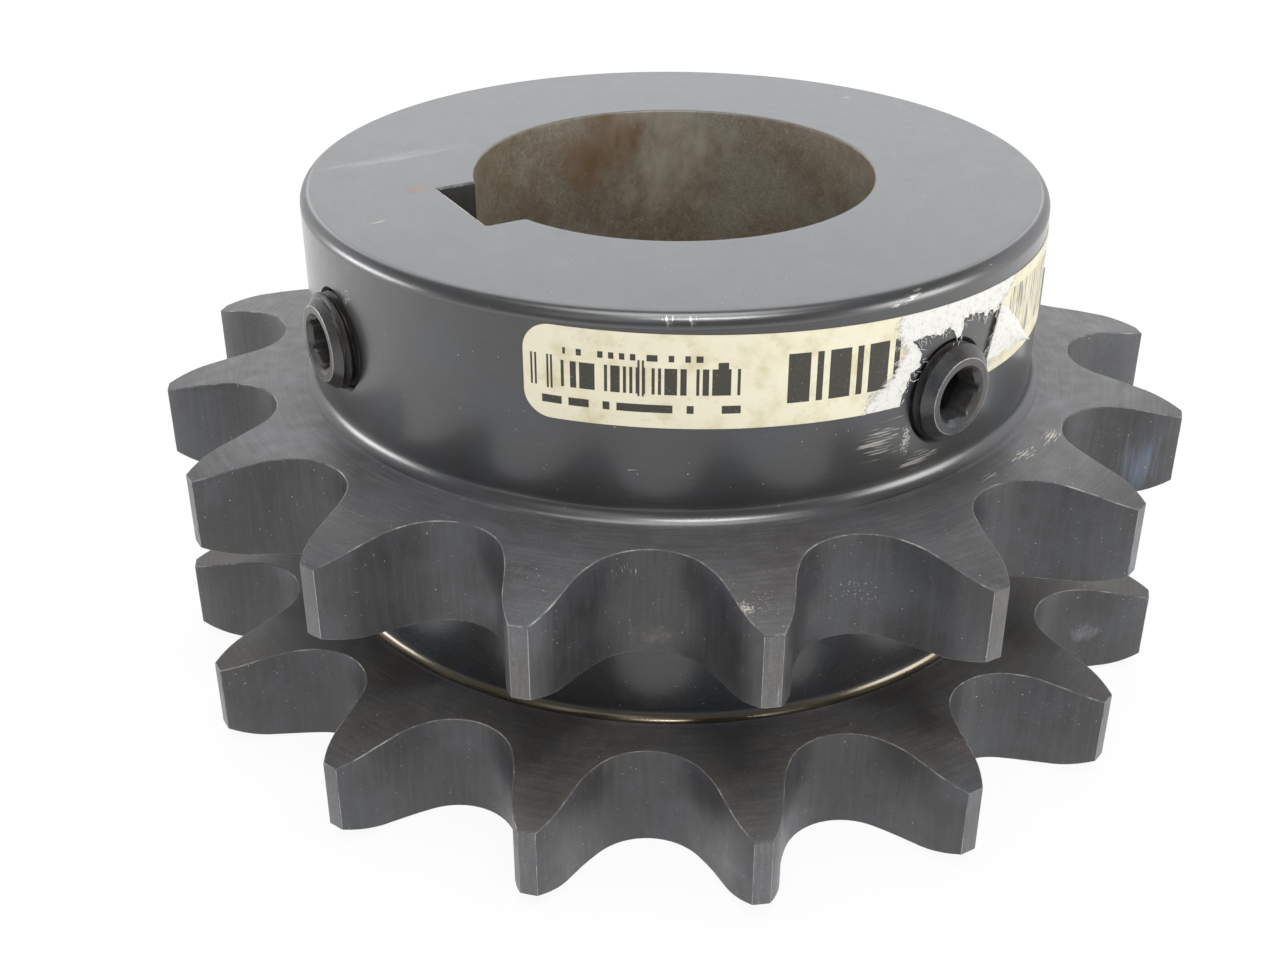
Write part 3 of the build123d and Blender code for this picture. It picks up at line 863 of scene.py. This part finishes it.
def paperFinish():
    # uncoated label paper, aged to cream, its black ink worn; the peeled patch shows bare white fibres
    material, add = newMaterial("agedLabelPaper")
    plan = add("VectorMath SCALE", add("UVMap", uv_map="plan"), label["length"])  # millimetres

    def window(left, right, bottom, top):
        # 1 inside a rectangle of the label
        away = add("VectorMath SUBTRACT", plan, ((left + right) / 2, (bottom + top) / 2, 0))
        away = add("SeparateXYZ", add("VectorMath ABSOLUTE", away), output=None).outputs
        return add("Math MULTIPLY", add("Math LESS_THAN", away[0], (right - left) / 2),
                   add("Math LESS_THAN", away[1], (top - bottom) / 2))

    ink = 0.0
    for heights, sides in printed["bars"].items():
        for edges in sides:
            ink = add("Math MAXIMUM", ink, window(*edges, *heights))
    along = add("SeparateXYZ", plan)
    for seed, (box, cell, share) in enumerate(printed["rows"]):
        number = add("Math FLOOR", add("Math MULTIPLY", along, 1 / cell))
        number = add("Math ADD", number, 7.5 + 31 * seed)
        stripe = add("Math LESS_THAN", add("TexWhiteNoise", number, noise_dimensions="1D"), share)
        ink = add("Math MAXIMUM", ink, add("Math MULTIPLY", stripe, window(*box)))
    ink = add("Math MULTIPLY", ink, blotches(add, plan, 2.6, 4.0, 0.72, 0.60, 0.74, 0.97, 0.55))
    # the end past the screw is scuffed in upright grey streaks
    upright = add("VectorMath MULTIPLY", plan, (2.0, 0.14, 1))
    streak = blotches(add, upright, 1.0, 3.0, 0.6, 0.46, 0.60, most=0.75)
    colour = linear(printed["paper"])
    for name, share in (("stain", blotches(add, plan, 0.20, 4.0, 0.62, 0.45, 0.72, most=0.75)),
                        ("soot", blotches(add, plan, 0.75, 6.0, 0.75, 0.58, 0.80, most=0.6)),
                        ("scuffed", add("Math MULTIPLY", streak, window(*printed["scuff"]))), ("ink", ink)):
        colour = add("Mix", share, colour, linear(printed[name]), **tint)
    # the peeled patch has a frayed border, and its fibres lie up to the right
    lay = add("Mapping", Vector=plan, Rotation=(0, 0, radians(-30)), Scale=(0.6, 3.6, 1))
    fray = add("TexNoise", lay, 1.0, 5.0, 0.75)
    edge = add("Math MULTIPLY_ADD", fray, 5.0, -2.5)
    edge = add("Math ADD", edge, add("Attribute", attribute_name="peeled", output="Fac"))
    white = add("MapRange", edge, -0.05, 0.12, **smooth)
    fluff = add("TexNoise", plan, 1.3, 6.0, 0.75)
    shade = add("MapRange", fluff, 0.32, 0.50, **smooth)
    fibre = add("Mix", shade, linear(printed["fibreShade"]), linear(printed["fibre"]), **tint)
    colour = add("Mix", white, colour, fibre, **tint)
    height = add("Math MULTIPLY_ADD", fray, 0.2, add("Math MULTIPLY", fluff, white))
    bump = add("Bump", Strength=1.0, Distance=0.12 * mm, Height=height)
    shader = add("BsdfPrincipled", Base_Color=colour, Roughness=0.62, IOR=1.45, Normal=bump)
    add("OutputMaterial", Surface=shader)
    return material


makeLabel(paperFinish())


# directions in plan: away from the camera, and to its right
azimuth = radians(camera["azimuth"])
back = Vector((sin(azimuth), cos(azimuth), 0))
side = Vector((back.y, -back.x, 0))
# what steel mirrors of the room: a white sweep behind the part that dims upwards, and a dim near side
room = {"white": 1.0, "high": 0.25, "near": 0.25, "fill": 0.55, "floor": 3.0, "floorShare": 0.93}


def raysOf(add):
    # whether a ray comes from the camera, and whether it was mirrored or bent
    path = add("LightPath", output=None).outputs
    return path["Is Camera Ray"], add("Math MAXIMUM", path["Is Glossy Ray"], path["Is Transmission Ray"])


def makeFloor():
    mesh = bpy.data.meshes.new("floor")
    size, under = room["floor"], -0.0002  # m; just clear of the plate's face
    corners = [(-size, -size, under), (size, -size, under), (size, size, under), (-size, size, under)]
    mesh.from_pydata(corners, [], [(0, 1, 2, 3)])
    floor = bpy.data.objects.new("floor", mesh)
    scene.collection.objects.link(floor)
    material, add = newMaterial("whiteSweep")
    seen, mirrored = raysOf(add)
    share = add("Math MULTIPLY", seen, room["floorShare"])
    share = add("Math MULTIPLY_ADD", mirrored, room["floorShare"], share)
    lit = add("BsdfDiffuse", Color=linear("#f4f4f4"))
    white = add("Emission", Color=(1, 1, 1, 1), Strength=1.0)
    add("OutputMaterial", Surface=add("MixShader", share, lit, white))
    mesh.materials.append(material)


def makeRoom():
    world = bpy.data.worlds.new("studio")
    scene.world = world
    world.use_nodes = True
    world.node_tree.nodes.clear()
    add = partial(put, world.node_tree)
    aim = add("TexCoord", output="Generated")
    away = add("VectorMath DOT_PRODUCT", aim, tuple(back), output=1)
    height = add("SeparateXYZ", aim, output=2)
    sweep = add("MapRange", height, 0.45, 0.66, room["white"], room["high"], **smooth)
    strength = add("MapRange", away, -0.30, 0.5, room["near"], sweep, **smooth)
    mirror, fill, backdrop = (add("Background", Color=(1, 1, 1, 1), Strength=value)
                              for value in (strength, room["fill"], 1.0))
    seen, mirrored = raysOf(add)
    lit = add("MixShader", mirrored, fill, mirror)
    add("OutputWorld", Surface=add("MixShader", seen, lit, backdrop))


def addSoftbox(name, place, height, aim, size, power):
    # place and aim's heights are in metres; size is the box's width and height
    data = bpy.data.lights.new(name, "AREA")
    data.shape, data.size, data.size_y = "RECTANGLE", *size
    data.energy = power
    lamp = bpy.data.objects.new(name, data)
    scene.collection.objects.link(lamp)
    lamp.location = place + Vector((0, 0, height))
    lamp.rotation_euler = (Vector((0, 0, aim)) - lamp.location).to_track_quat("-Z", "Y").to_euler()


makeFloor()
makeRoom()
addSoftbox("backBox", back * 0.8, 0.50, 0.05, (1.1, 0.5), 2.6)
addSoftbox("topBox", back * 0, 0.9, 0, (0.5, 0.4), 2.4)
addSoftbox("stripBox", side * 0.12 - back * 0.45, 0.85, 0.05, (0.36, 0.14), 2.7)
addSoftbox("frontBox", side * -0.35 - back * 0.8, 0.75, 0.04, (0.6, 0.5), 0.6)
addSoftbox("rightBox", side * 0.9 - back * 0.3, 0.2, 0.04, (0.5, 0.4), 3.3)
addSoftbox("leftBox", side * -0.9 + back * 0.1, 0.14, 0.04, (0.5, 0.24), 2.6)
scene.view_settings.view_transform = "Standard"
print("stage ready")
